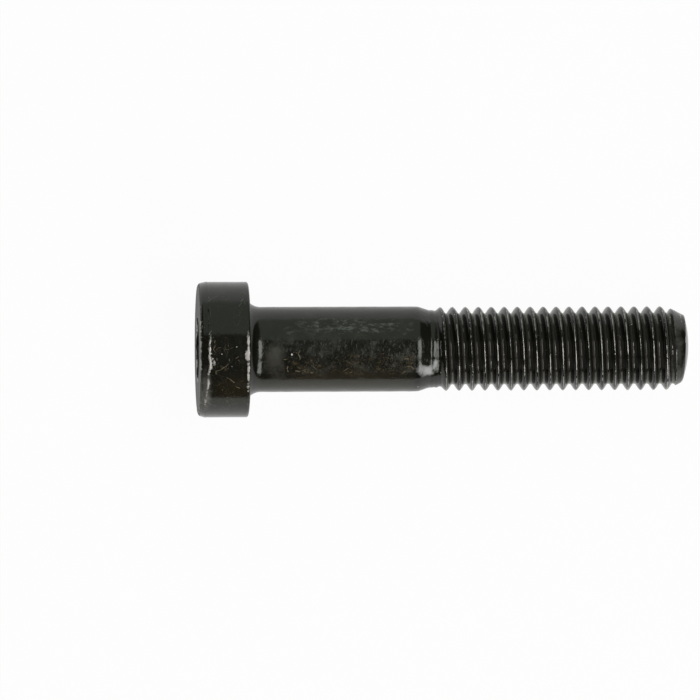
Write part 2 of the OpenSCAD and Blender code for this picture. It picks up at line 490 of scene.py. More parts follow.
def groove_profile(sizes, place, off, full_crest):
    """Radius of the full thread, from the distance along the axis to the nearest crest."""
    # The crest is rounded, its flanks run at 30 degrees to the cross section, and the
    # bottom of the groove is an arc that the flanks run into
    crest = sizes.crest_diameter / 2
    deepest = crest - sizes.root_diameter / 2
    steep = math.sqrt(3)
    nose = 0.24 * MM
    flank = steep * (np.sqrt(off**2 + nose**2) - nose)
    blunt = nose + 0.3 * MM * (1 - soft_step(place, full_crest, 0.8 * MM))
    first_flank = steep * (np.sqrt(off**2 + blunt**2) - blunt)
    from_root = sizes.pitch / 2 - off
    bottom_r = steep * (sizes.pitch / 2 - nose) - deepest
    bowl = deepest - bottom_r + np.sqrt(np.maximum(bottom_r**2 - from_root**2, 0))
    drop = np.where(from_root < bottom_r * math.sin(math.radians(60)), bowl, flank)
    return crest - np.minimum(drop, first_flank)


def neck_profile(sizes, place, shank_end, runout):
    """Radius of shank, shoulder and neck under the thread."""
    # Most of the step is the shoulder, and a second small one lies under the first crest
    first, second = 0.82, 0.18
    neck = sizes.neck_diameter / 2 - sizes.neck_sink
    drawn_in = first * ramp(place, shank_end - 0.02 * MM, sizes.shoulder, 0.16 * MM, 0.02 * MM)
    drawn_in = drawn_in + second * ramp(
        place, runout + 0.02 * MM, 0.45 * MM, 0.04 * MM, 0.04 * MM
    )
    return neck + (sizes.shank_diameter / 2 - neck) * (1 - drawn_in)


def thread_radius(sizes, place, turn):
    """Radius, wear and burnish of the rolled thread at points of the skin."""
    shank_end, runout, full_crest, chamfer = thread_places(sizes)
    last_crest = chamfer - sizes.last_crest_back
    turns_off = (place - last_crest) / sizes.pitch - turn / math.tau
    off = np.abs(turns_off - np.round(turns_off)) * sizes.pitch
    full = groove_profile(sizes, place, off, full_crest)
    base = neck_profile(sizes, place, shank_end, runout)
    rise = soft_step(place, runout + 0.15 * MM, sizes.crest_rise + 0.15 * MM)
    sink = soft_step(place, full_crest - 0.2 * MM, sizes.groove_sink + 0.2 * MM)
    radius = np.where(full > base, base + rise * (full - base), base + sink * (full - base))

    # The chamfer cuts the thread off, with a small blend
    crest = sizes.crest_diameter / 2
    blend = 0.05 * MM
    slope = (crest - sizes.point_diameter / 2) / sizes.point_length
    gap = crest - (place - chamfer) * slope - radius
    radius = radius + (gap - np.sqrt(gap**2 + blend**2)) / 2

    # Crests and the chamfer's edges wear, and the bottoms of the grooves are burnished
    near_crest = bell(off, 0.075 * MM) * rise
    near_crest = near_crest * (1 - soft_step(place, chamfer + 0.3 * MM, 0.9 * MM))
    rim = bell(place - chamfer, 0.25 * MM) * bell(off, 0.3 * MM)
    cut = bell(gap, 0.14 * MM) * soft_step(place, chamfer + 0.2 * MM, 0.3 * MM)
    near_root = bell(sizes.pitch / 2 - off, 0.16 * MM) * sink
    near_root = near_root * (1 - soft_step(place, chamfer + 0.5 * MM, 0.5 * MM))
    return radius, np.clip(near_crest + 0.5 * rim + 0.9 * cut, 0, 1), near_root


def make_socket(skin, sizes):
    """The socket, from the middle of its floor out to its mouth, and the mouth's radii."""
    turns = skin.turns
    face = -sizes.head_height
    floor = face + sizes.key_depth
    wall = hexagon_radius(sizes, turns)

    # Floor of the round recess, its ragged cone, and the ledge left in the corners
    chatter = roughen_round(turns, grain=0.5 * MM, depth=0.07 * MM, seed=3)
    recess, bottom = sizes.recess_diameter / 2, sizes.recess_floor / 2
    for t in np.linspace(0.08, 1, 7):
        skin.ring(floor + sizes.recess_depth + RECESS_DISH * (1 - t), t * bottom)
    for t in np.linspace(0.15, 1, 7):
        ragged = chatter * math.sin(math.pi * t)
        place = floor + sizes.recess_depth * (1 - t) + ragged
        skin.ring(place, bottom + t * (recess - bottom), 0.55 * t)
    for t, wear in ((0.1, 0.9), (0.4, 0.35), (0.7, 0.35), (0.93, 0.35)):
        skin.ring(floor - 0.02 * MM * t, recess + t * (wall - recess), wear)

    # Flats up to the countersink, and the scalloped mouth
    mouth = sizes.across_flats / 2 + sizes.mouth_bevel
    bevel = np.maximum(0, (mouth - wall) / math.tan(math.radians(60)))
    lip = 0.05 * MM
    low = floor - 0.08 * MM
    high = face + bevel + lip
    for t in np.linspace(0, 1, 11):
        skin.ring(low + t * (high - low), wall, 0.25 if t == 1 else 0.0)
    edge = np.maximum(mouth, wall)
    skin.ring(face + bevel + 0.4 * lip, wall + 0.35 * lip, 0.8)
    skin.ring(face + 0.5 * bevel + 0.25 * lip, (edge + wall) / 2 + 0.55 * lip, 0.8)
    skin.ring(face + 0.1 * lip, edge + 0.8 * lip, 0.8)
    rim = edge + 1.2 * lip
    skin.ring(face, rim, 0.5)
    return rim


def make_face(skin, sizes, rim):
    """The head's face with a very slight dish, and its rounded edge."""
    face = -sizes.head_height
    edge_at = sizes.head_diameter / 2 - sizes.taper_in - sizes.face_edge
    for t in np.linspace(0.05, 0.97, 20):
        dish = 0.03 * MM * math.sin(math.pi * t)
        skin.ring(face + dish, rim + t * (edge_at - rim))
    wear = worn_side(skin.turns, middle=180, half=28, rest=0.25, seed=31)
    edge = arc((edge_at, face + sizes.face_edge), sizes.face_edge, -90, 0, 9)
    for (place, radius), worn in zip(edge, FACE_EDGE_WEAR):
        skin.ring(place, radius, wear * worn)


def make_head_wall(skin, sizes):
    """Taper up to a crease with a small burr, the wall, and the bearing face's edge."""
    turns = skin.turns
    head = sizes.head_diameter / 2
    taper_start = sizes.face_edge - sizes.head_height
    burst = lobe(turns, middle=192, half=7)
    drop = lobe(turns, middle=240, half=30)
    uneven = roughen_round(turns, grain=1.6 * MM, depth=0.12 * MM, seed=5)
    uneven = uneven + (0.2 * burst - 0.42 * drop - 0.2) * MM
    away = np.full(len(turns), 9 * MM)
    fine = roughen(away, turns, grain=0.35 * MM, depth=1.0, seed=6)
    line = sizes.taper_length - sizes.head_height + uneven + 0.04 * MM * fine
    wear = worn_side(turns, middle=200, half=35, rest=0.15, seed=33)
    burr = 0.022 * MM + 0.045 * MM * np.clip(fine, -0.4, 1)
    skin.span((taper_start, head - sizes.taper_in), (line - 0.22 * MM, head - 0.018 * MM), 5)
    skin.ring(line - 0.14 * MM, head - 0.01 * MM, 0.35 * wear)
    for past, lift, worn, torn in CREASE_RINGS:
        skin.ring(line + past * MM, head + lift * burr, (worn + torn * burst) * wear)

    start = line + CREASE_RINGS[-1][0] * MM
    end = -sizes.bearing_edge
    wear = worn_side(turns, middle=194, half=28, rest=0.2, seed=35)
    chipped = end - 0.5 * MM
    for t in np.linspace(0.07, 1, 14):
        place = start + t * (chipped - start)
        dents = roughen(place, turns, grain=0.9 * MM, depth=0.012 * MM, seed=8)
        skin.ring(place, head + dents)
    widest = lobe(turns, middle=186, half=5)
    for back, least in BEARING_RINGS:
        worn = np.maximum(least, (1.1 - 1.1 * back) * widest)
        skin.ring(end - back * MM, head, worn * wear)
    edge = arc((head - sizes.bearing_edge, end), sizes.bearing_edge, 0, 90, 6)
    for (place, radius), worn in zip(edge[1:], BEARING_EDGE_WEAR):
        skin.ring(place, radius, wear * worn)
    skin.span((0, head - sizes.bearing_edge), (0, sizes.fillet_diameter / 2), 7)


def make_shank(skin, sizes):
    """Fillet under the head and the plain shank, up to where the thread's rings start."""
    turns = skin.turns
    shank = sizes.shank_diameter / 2
    reach = sizes.fillet_radius
    sweep = math.degrees(math.acos(1 - (sizes.fillet_diameter / 2 - shank) / reach))
    start = reach * math.sin(math.radians(sweep))
    for place, radius in arc((shank + reach, start), reach, 180 + sweep, 180, 10)[1:]:
        skin.ring(place, radius, finish=SHANK)
    end = thread_places(sizes)[0] - 0.6 * MM
    for t in np.linspace(0.022, 1, 46):
        place = np.full(len(turns), start + t * (end - start))
        dents = roughen(place, turns, grain=1.1 * MM, depth=0.011 * MM, seed=11)
        skin.ring(place, shank + dents * (t < 1), finish=SHANK)
    return end


def make_thread(skin, sizes, start, end):
    """Winds the rings of the thread round the axis and returns the first one's number."""
    turns = skin.turns
    step = sizes.pitch / sizes.rings_per_pitch
    last_crest = thread_places(sizes)[-1] - sizes.last_crest_back
    back = math.ceil((last_crest - start) / sizes.pitch + 1)
    first_place = last_crest - back * sizes.pitch
    rings = math.ceil((end - first_place) / step)
    first = len(skin.places)
    for k in range(rings + 1):
        place = np.clip(first_place + k * step + sizes.pitch * turns / math.tau, start, end)
        radius, wear, burnish = thread_radius(sizes, place, turns)
        inside = (place > start) & (place < end)
        dents = roughen(place, turns, grain=0.5 * MM, depth=0.014 * MM, seed=21)
        skin.ring(place, radius + dents * inside, wear, finish=THREAD, burnish=burnish)
    return first


def make_point(skin, sizes, start):
    """Last of the chamfer, the rounded edge and the end."""
    turns = skin.turns
    last = sizes.under_head
    crest, point = sizes.crest_diameter / 2, sizes.point_diameter / 2
    angle = math.atan((crest - point) / sizes.point_length)
    edge = sizes.point_edge
    edge_at = point - edge * (1 - math.sin(angle)) / math.cos(angle)

    def lean(place, radius):
        """Brings one side of the end back a little."""
        near_end = soft_step(place, start, last - start)
        return -sizes.out_of_square * near_end * (1 - np.sin(turns) * radius / point) / 2

    rim = arc((edge_at, last - edge), edge, math.degrees(angle), 90, 7)
    chamfer = thread_radius(sizes, np.full(len(turns), start), turns)[0]
    for t in (0.35, 0.7):
        place = start + t * (rim[0][0] - start)
        radius = chamfer + t * (rim[0][1] - chamfer)
        skin.ring(place + lean(place, radius), radius, finish=THREAD)
    for i, (place, radius) in enumerate(rim):
        skin.ring(place + lean(place, radius), radius, 0.7 if i < 6 else 0.3, finish=THREAD)
    for t in (0.94, 0.86, 0.74, 0.6, 0.44, 0.28, 0.1):
        radius = t * edge_at
        crown = sizes.end_crown * (1 - t * t)
        skin.ring(last + crown + lean(last, radius), radius, finish=THREAD)


def skin_faces(skin, thread_first, thread_last, rings_per_pitch):
    """Four-sided faces between the rings. The thread's rings climb one pitch in a turn."""
    columns = len(skin.turns)

    def row(ring, climbs):
        """The ring's points, and the one that it meets after a full turn."""
        meets = min(ring + rings_per_pitch, thread_last) if climbs else ring
        return [ring * columns + j for j in range(columns)] + [meets * columns]

    faces = []
    finishes = []
    for ring in range(len(skin.places) - 1):
        climbs = thread_first <= ring < thread_last
        this, after = row(ring, climbs), row(ring + 1, climbs)
        for j in range(columns):
            faces.append([this[j], this[j + 1], after[j + 1], after[j]])
            finishes.append(skin.finish[ring + 1])
    return faces, finishes


def build_screw_mesh(sizes):
    """The whole screw as one closed mesh, with wear and burnish at each point."""
    columns = sizes.columns
    skin = Skin(columns)
    rim = make_socket(skin, sizes)
    make_face(skin, sizes, rim)
    make_head_wall(skin, sizes)
    shank_end = make_shank(skin, sizes)
    thread_end = sizes.under_head - 0.5 * MM
    thread_first = make_thread(skin, sizes, shank_end, thread_end)
    thread_last = len(skin.places) - 1
    make_point(skin, sizes, thread_end)

    places, radii = np.array(skin.places), np.array(skin.radii)
    turns = np.broadcast_to(skin.turns, places.shape)
    points = place_on_screw(places, radii, turns).reshape(-1, 3)
    faces, finishes = skin_faces(skin, thread_first, thread_last, sizes.rings_per_pitch)

    # The two poles close the socket's floor and the end of the point
    socket_floor = sizes.key_depth - sizes.head_height + sizes.recess_depth + RECESS_DISH
    tip = sizes.under_head + sizes.end_crown - 0.5 * sizes.out_of_square
    poles = place_on_screw(np.array([socket_floor, tip]), np.zeros(2), np.zeros(2))
    count = len(points)
    points = np.vstack([points, poles])
    last = count - columns
    for j in range(columns):
        following = (j + 1) % columns
        faces.append([count, following, j])
        faces.append([last + j, last + following, count + 1])
        finishes += [HEAD, THREAD]

    mesh = bpy.data.meshes.new(PIECE)
    mesh.from_pydata(points.tolist(), [], faces)
    for name, value in (("wear", skin.wear), ("burnish", skin.burnish)):
        layer = mesh.attributes.new(name, "FLOAT", "POINT")
        layer.data.foreach_set("value", np.append(value, [0, 0]))
    mesh.polygons.foreach_set("material_index", finishes)
    work = bmesh.new()
    work.from_mesh(mesh)
    bmesh.ops.remove_doubles(work, verts=work.verts, dist=0.002 * MM)
    bmesh.ops.dissolve_degenerate(work, edges=work.edges, dist=0.001 * MM)
    bmesh.ops.recalc_face_normals(work, faces=work.faces)
    work.to_mesh(mesh)
    work.free()
    mesh.shade_smooth()
    mesh.set_sharp_from_angle(angle=math.radians(38))
    mesh.update()
    return mesh


def add_node(tree, kind, inputs=None, **settings):
    """Adds a node and gives its sockets values, or links them to other sockets."""
    node = tree.nodes.new(kind)
    for name, value in settings.items():
        setattr(node, name, value)
    for key, value in (inputs or {}).items():
        if isinstance(value, bpy.types.NodeSocket):
            tree.links.new(value, node.inputs[key])
        else:
            node.inputs[key].default_value = value
    return node


def add_math(tree, operation, *values, clamp=False):
    """A Math node's output."""
    node = add_node(
        tree, "ShaderNodeMath", dict(enumerate(values)), operation=operation, use_clamp=clamp
    )
    return node.outputs[0]


def add_vector_math(tree, operation, *values):
    """A Vector Math node's output, a vector or, for three operations, one number."""
    node = add_node(tree, "ShaderNodeVectorMath", dict(enumerate(values)), operation=operation)
    is_number = operation in {"DISTANCE", "DOT_PRODUCT", "LENGTH"}
    return node.outputs["Value" if is_number else "Vector"]


def add_noise(tree, vector, scale, detail=4.0, roughness=0.6, distortion=0.0, output="Fac"):
    """A Noise Texture's height, or its colour."""
    inputs = {
        "Vector": vector,
        "Scale": scale,
        "Detail": detail,
        "Roughness": roughness,
        "Distortion": distortion,
    }
    return add_node(tree, "ShaderNodeTexNoise", inputs).outputs[output]


def add_range(tree, value, low, high, to_low=0.0, to_high=1.0):
    """A smooth Map Range from low..high to the two values."""
    inputs = {
        "Value": value,
        "From Min": low,
        "From Max": high,
        "To Min": to_low,
        "To Max": to_high,
    }
    node = add_node(tree, "ShaderNodeMapRange", inputs, interpolation_type="SMOOTHSTEP")
    return node.outputs["Result"]


def add_mix(tree, factor, first, second):
    """Mixes two colours."""
    inputs = {0: factor, 6: first, 7: second}
    return add_node(tree, "ShaderNodeMix", inputs, data_type="RGBA").outputs[2]


def opaque(rgb):
    """A colour property as four numbers."""
    return (rgb[0], rgb[1], rgb[2], 1.0)


def arrange(tree):
    """Lays the nodes out in columns, each to the left of all that it feeds."""
    column = {node.name: 0 for node in tree.nodes}
    moved = True
    while moved:
        moved = False
        for link in tree.links:
            behind = column[link.to_node.name] + 1
            if column[link.from_node.name] < behind:
                column[link.from_node.name] = behind
                moved = True
    filled = {}
    for node in tree.nodes:
        place = column[node.name]
        row = filled.get(place, 0)
        filled[place] = row + 1
        node.location = (-NODE_COLUMN * place, -NODE_ROW * row)


def new_group(name, inputs, outputs=("Mask",)):
    """A shader node group on a Vector and other named inputs, and its inner sockets."""
    tree = bpy.data.node_groups.new(name, "ShaderNodeTree")
    kinds = {1: "NodeSocketFloat", 3: "NodeSocketVector", 4: "NodeSocketColor"}
    for label, default in {"Vector": ORIGIN, **inputs}.items():
        kind = kinds[np.size(default)]
        socket = tree.interface.new_socket(label, in_out="INPUT", socket_type=kind)
        socket.default_value = default
    for label in outputs:
        kind = kinds[4 if label == "Color" else 1]
        tree.interface.new_socket(label, in_out="OUTPUT", socket_type=kind)
    given = tree.nodes.new("NodeGroupInput").outputs
    result = tree.nodes.new("NodeGroupOutput").inputs
    return tree, given, result


def close_group(tree, result, **values):
    """Links the values that the group puts out and lays its nodes out."""
    for name, value in values.items():
        tree.links.new(value, result[name])
    arrange(tree)
    return tree


def oxide_group():
    """Mottled oxide: colour, roughness and height from broad clouds and a fine grain."""
    tree, given, result = new_group(
        "blackened oxide",
        {
            "Dark": (0.004, 0.004, 0.003, 1),
            "Light": (0.03, 0.03, 0.025, 1),
            "Cloud Size": 0.6,
            "Thin": 0.5,
            "Smooth": 0.2,
            "Rough": 0.4,
        },
        ("Color", "Roughness", "Height"),
    )
    vector = given["Vector"]
    clouds = add_noise(tree, vector, given["Cloud Size"], 5, 0.6, 0.4)
    grain = add_noise(tree, vector, 9.0, 4, 0.65)
    pits = add_noise(tree, vector, 3.2, 3, 0.5)
    least = add_math(tree, "SUBTRACT", 0.78, given["Thin"])
    cover = add_range(tree, clouds, least, 0.85)
    speckle = add_math(tree, "MULTIPLY", grain, 0.5)
    blend = add_math(tree, "ADD", cover, speckle)
    blend = add_math(tree, "SUBTRACT", blend, 0.22, clamp=True)
    shade = add_mix(tree, blend, given["Dark"], given["Light"])
    patchy = add_math(tree, "ADD", cover, grain)
    rough = add_range(tree, patchy, 0.3, 1.3, given["Smooth"], given["Rough"])
    deep = add_range(tree, pits, 0.25, 0.5)
    height = add_math(tree, "MULTIPLY_ADD", grain, 0.35, deep)
    return close_group(tree, result, Color=shade, Roughness=rough, Height=height)


def worn_edge_group():
    """Bare steel along an edge, broken up by noise."""
    tree, given, result = new_group(
        "worn edge", {"Edge": 0.0, "Amount": 0.5, "Chip Size": 2.5, "Contrast": 1.7}
    )
    vector = given["Vector"]
    chips = add_noise(tree, vector, given["Chip Size"], 6, 0.7, 0.3)
    chips = add_math(tree, "SUBTRACT", chips, 0.5)
    chips = add_math(tree, "MULTIPLY", chips, given["Contrast"])
    chips = add_math(tree, "ADD", chips, 0.5)
    broad = add_noise(tree, vector, 0.45, 2, 0.5)
    edge = add_math(tree, "MULTIPLY", given["Edge"], given["Amount"])
    uneven = add_range(tree, broad, 0.35, 0.65, 0.6, 1.25)
    edge = add_math(tree, "MULTIPLY", edge, uneven)
    total = add_math(tree, "ADD", edge, chips)
    mask = add_range(tree, total, 0.78, 0.92)
    touched = add_range(tree, given["Edge"], 0.02, 0.2)
    mask = add_math(tree, "MULTIPLY", mask, touched)
    return close_group(tree, result, Mask=mask)


def streak_group():
    """Thin winding streaks, from the level lines of a noise, in loose patches."""
    tree, given, result = new_group(
        "winding streaks", {"Size": 1.0, "Width": 0.05, "Patches": 0.5}
    )
    vector = given["Vector"]
    level = add_noise(tree, vector, given["Size"], 2.5, 0.55, 1.2)
    away = add_math(tree, "SUBTRACT", level, 0.5)
    away = add_math(tree, "ABSOLUTE", away)
    line = add_range(tree, away, given["Width"], 0.0)
    patch = add_noise(tree, vector, 0.55, 3, 0.6)
    least = add_math(tree, "SUBTRACT", 0.85, given["Patches"])
    patch = add_range(tree, patch, least, 0.75)
    mask = add_math(tree, "MULTIPLY", line, patch)
    return close_group(tree, result, Mask=mask)


def speck_group():
    """Small separate specks, one in some of the cells of a Voronoi texture."""
    tree, given, result = new_group("specks", {"Count": 2.0, "Share": 0.2, "Radius": 0.25})
    wobble = add_noise(tree, given["Vector"], 3.0, 2.0, 0.5, output="Color")
    bent = add_vector_math(tree, "MULTIPLY_ADD", wobble, (0.25, 0.25, 0.25), given["Vector"])
    cells = add_node(tree, "ShaderNodeTexVoronoi", {"Vector": bent, "Scale": given["Count"]})
    pick = add_node(tree, "ShaderNodeSeparateColor", {"Color": cells.outputs["Color"]})
    chosen = add_math(tree, "LESS_THAN", pick.outputs["Red"], given["Share"])
    size = add_math(tree, "MULTIPLY", pick.outputs["Green"], given["Radius"])
    near = add_math(tree, "LESS_THAN", cells.outputs["Distance"], size)
    mask = add_math(tree, "MULTIPLY", near, chosen)
    return close_group(tree, result, Mask=mask)


def mark_group():
    """One mark at a place on the surface, an ellipsoid with a ragged edge."""
    tree, given, result = new_group(
        "single mark",
        {
            "Place": ORIGIN,
            "Half Size": (1, 1, 1),
            "Ragged": 0.3,
            "Grain": 2.0,
            "Soft": 0.2,
        },
    )
    vector = given["Vector"]
    away = add_vector_math(tree, "SUBTRACT", vector, given["Place"])
    away = add_vector_math(tree, "DIVIDE", away, given["Half Size"])
    reach = add_vector_math(tree, "LENGTH", away)
    torn = add_noise(tree, vector, given["Grain"], 5, 0.72)
    torn = add_math(tree, "SUBTRACT", torn, 0.5)
    torn = add_math(tree, "MULTIPLY", torn, given["Ragged"])
    total = add_math(tree, "ADD", reach, torn)
    inner = add_math(tree, "SUBTRACT", 1.0, given["Soft"])
    mask = add_range(tree, total, 1.0, inner)
    return close_group(tree, result, Mask=mask)


def scratch_group():
    """One scratch between two places, thinner towards its ends."""
    tree, given, result = new_group(
        "single scratch",
        {
            "From": ORIGIN,
            "To": (1, 0, 0),
            "Half Width": 0.05,
            "Soft": 0.75,
            "Strength": 1.0,
        },
    )
    run = add_vector_math(tree, "SUBTRACT", given["To"], given["From"])
    here = add_vector_math(tree, "SUBTRACT", given["Vector"], given["From"])
    along = add_vector_math(tree, "DOT_PRODUCT", here, run)
    whole = add_vector_math(tree, "DOT_PRODUCT", run, run)
    part = add_math(tree, "DIVIDE", along, whole, clamp=True)
    nearest = add_vector_math(tree, "MULTIPLY_ADD", run, part, given["From"])
    away = add_vector_math(tree, "DISTANCE", given["Vector"], nearest)
    rest = add_math(tree, "SUBTRACT", 1.0, part)
    middle = add_math(tree, "MULTIPLY", part, rest)
    width = add_math(tree, "MULTIPLY_ADD", middle, 2.0, 0.5)
    width = add_math(tree, "MULTIPLY", width, given["Half Width"])
    core = add_math(tree, "SUBTRACT", 1.0, given["Soft"])
    inner = add_math(tree, "MULTIPLY", width, core)
    mask = add_range(tree, away, width, inner)
    mask = add_math(tree, "MULTIPLY", mask, given["Strength"])
    return close_group(tree, result, Mask=mask)


def top_point(place, across, radius):
    """A point in millimetres on the upper side, across from the axis, at a radius."""
    return (place, across, math.sqrt(radius**2 - across**2))


def photo_point(x, y, radius):
    """A point in millimetres on the upper side, from its pixel in the photograph."""
    axis_y = PHOTO_AXIS_Y - PHOTO_AXIS_SINK * x
    place = (x - PHOTO_BEARING_X) / PHOTO_PIXELS_PER_MM - PHOTO_LEAN * radius
    return top_point(place, (axis_y - y) / PHOTO_PIXELS_PER_MM, radius)


class Coat:
    """One finish of the screw: a material of oxide with other colours laid over it."""

    def __init__(self, name, groups, finish, cloud_size, thin, smooth, rough):
        self.groups = groups
        self.material = bpy.data.materials.new(name)
        self.material.use_nodes = True
        self.tree = self.material.node_tree
        self.shader = self.tree.nodes["Principled BSDF"].inputs
        self.shader["IOR"].default_value = 1.5
        self.shader["Specular Tint"].default_value = SHEEN
        self.vector = self.axis_coordinates()
        oxide = {
            "Dark": opaque(finish.oxide),
            "Light": opaque(finish.scale),
            "Cloud Size": cloud_size,
            "Thin": thin,
            "Smooth": smooth,
            "Rough": rough,
        }
        self.oxide = self.place("oxide", oxide)
        self.shade = self.oxide["Color"]
        self.roughness = self.oxide["Roughness"]

    def axis_coordinates(self):
        """Object coordinates in millimetres, from the bearing face, X along the axis."""
        sizes = bpy.context.scene.screw_sizes
        where = add_node(self.tree, "ShaderNodeTexCoord")
        inputs = {
            "Vector": where.outputs["Object"],
            "Location": HEAD_CENTRE + sizes.head_height * ALONG,
            "Rotation": (0, TILT, 0),
            "Scale": (MM, MM, MM),
        }
        turned = add_node(self.tree, "ShaderNodeMapping", inputs, vector_type="TEXTURE")
        return turned.outputs["Vector"]

    def place(self, group, inputs):
        """Places a node group on the screw's coordinates and returns its outputs."""
        inputs = {"Vector": self.vector, **inputs}
        node = add_node(self.tree, "ShaderNodeGroup", inputs, node_tree=self.groups[group])
        return node.outputs

    def math(self, operation, *values, clamp=False):
        """A Math node's output in this material."""
        return add_math(self.tree, operation, *values, clamp=clamp)

    def times(self, first, second):
        """One value times another."""
        return self.math("MULTIPLY", first, second)

    def highest(self, masks):
        """The highest of some masks, each taken in once it is made, so that few wait."""
        return reduce(lambda one, other: self.math("MAXIMUM", one, other), masks)

    def stored(self, name):
        """A value that is stored at each point of the skin."""
        return add_node(self.tree, "ShaderNodeAttribute", attribute_name=name).outputs["Fac"]

    def stretched(self, scale):
        """The coordinates scaled along each axis, which draws a texture out."""
        return add_vector_math(self.tree, "MULTIPLY", self.vector, scale)

    def worn_edge(self, amount, chip_size, contrast):
        """Bare steel where the skin's stored wear is."""
        inputs = {
            "Edge": self.stored("wear"),
            "Amount": amount,
            "Chip Size": chip_size,
            "Contrast": contrast,
        }
        return self.place("edge", inputs)["Mask"]

    def streaks(self, size, width, patches, stretch=None):
        """Winding streaks, drawn out where a stretch is given."""
        inputs = {"Size": size, "Width": width, "Patches": patches}
        if stretch:
            inputs["Vector"] = self.stretched(stretch)
        return self.place("streaks", inputs)["Mask"]

    def clouds(self, stretch, scale, detail, roughness, span, most):
        """Soft clouds of noise, as a mask that rises to its most over a span of it."""
        cloud = add_noise(self.tree, self.stretched(stretch), scale, detail, roughness)
        return add_range(self.tree, cloud, *span, 0.0, most)

    def marks(self, *marks):
        """One mask of single marks: place, half size, raggedness, its grain, softness."""
        names = ("Place", "Half Size", "Ragged", "Grain", "Soft")
        return self.highest(self.place("mark", dict(zip(names, mark)))["Mask"] for mark in marks)

    def scratches(self, scratches, radius, wobble, soft):
        """One mask of single scratches with ragged sides, on a round of a radius."""
        shake = add_noise(self.tree, self.vector, 2.6, 5.0, 0.65, output="Color")
        spread = add_vector_math(self.tree, "SUBTRACT", shake, (0.5, 0.5, 0.5))
        ragged = add_vector_math(
            self.tree, "MULTIPLY_ADD", spread, (wobble, wobble, wobble), self.vector
        )

        def scratch(x, y, to_x, to_y, width, strength):
            """One of them."""
            inputs = {
                "Vector": ragged,
                "From": photo_point(x, y, radius),
                "To": photo_point(to_x, to_y, radius),
                "Half Width": SCRATCH_SPREAD * width / PHOTO_PIXELS_PER_MM,
                "Soft": soft,
                "Strength": strength,
            }
            return self.place("scratch", inputs)["Mask"]

        return self.highest(scratch(*row) for row in scratches)

    def lay(self, mask, colour, strength=None):
        """Lays a colour over the ones so far where a mask shows, as strongly as given."""
        if strength is not None:
            mask = self.times(mask, strength)
        self.shade = add_mix(self.tree, mask, self.shade, colour)

    def dull(self, mask, roughness, full=1.0):
        """Leads the roughness over to another where a mask rises to full."""
        self.roughness = add_range(self.tree, mask, 0.0, full, self.roughness, roughness)

    def finished(self, height, strength, depth, metal=None):
        """Links the layers to the shader, with the height as a bump."""
        inputs = {"Strength": strength, "Distance": depth, "Height": height}
        bump = add_node(self.tree, "ShaderNodeBump", inputs)
        layers = {
            "Base Color": self.shade,
            "Roughness": self.roughness,
            "Normal": bump.outputs["Normal"],
        }
        if metal is not None:
            layers["Metallic"] = metal
        for name, value in layers.items():
            self.tree.links.new(value, self.shader[name])
        arrange(self.tree)
        return self.material


def head_finish(groups, finish):
    """Smooth, very dark oxide with chipped edges, tan scratches and a few bare dots."""
    coat = Coat(
        "blackened head", groups, finish, cloud_size=0.3, thin=0.2, smooth=0.12, rough=0.24
    )
    edge = coat.worn_edge(finish.edge_wear, chip_size=2.5, contrast=1.7)
    lines = coat.streaks(size=1.1, width=0.012, patches=0.5, stretch=(1.0, 0.6, 0.6))
    dots = coat.scratches(HEAD_BARE, HEAD_RADIUS, wobble=0.1, soft=0.7)
    dulled = coat.marks(((-5.1, -4.7, 5.7), (0.85, 3.8, 3.6), 1.2, 1.2, 0.9))
    film = coat.marks(((-2.0, -4.7, 6.2), (3.6, 2.9, 2.9), 1.0, 0.8, 0.8))
    pale = coat.scratches(HEAD_PALE, HEAD_RADIUS, wobble=0.16, soft=1.0)
    scored = coat.scratches(HEAD_TAN, HEAD_RADIUS, wobble=0.16, soft=0.9)

    coat.lay(film, HEAD_FILM, strength=0.6)
    coat.lay(dulled, HEAD_DULLED, strength=0.85)
    coat.lay(pale, HEAD_SCRATCH)
    scored = coat.math("MAXIMUM", scored, coat.times(lines, 0.45))
    coat.lay(scored, opaque(finish.tan))
    bare = coat.math("MAXIMUM", edge, dots)
    coat.lay(bare, opaque(finish.steel))
    metal = coat.times(bare, 0.85)

    # The face with the socket is duller than the rest of the head
    axes = add_node(coat.tree, "ShaderNodeSeparateXYZ", {0: coat.vector})
    face = add_range(coat.tree, axes.outputs["X"], -5.7, -5.5, 1.0, 0.0)
    coat.dull(face, roughness=0.46)
    coat.dull(bare, roughness=0.45)
    height = coat.math("MULTIPLY_ADD", lines, -0.5, coat.oxide["Height"])
    return coat.finished(height, strength=0.2, depth=0.015 * MM, metal=metal)


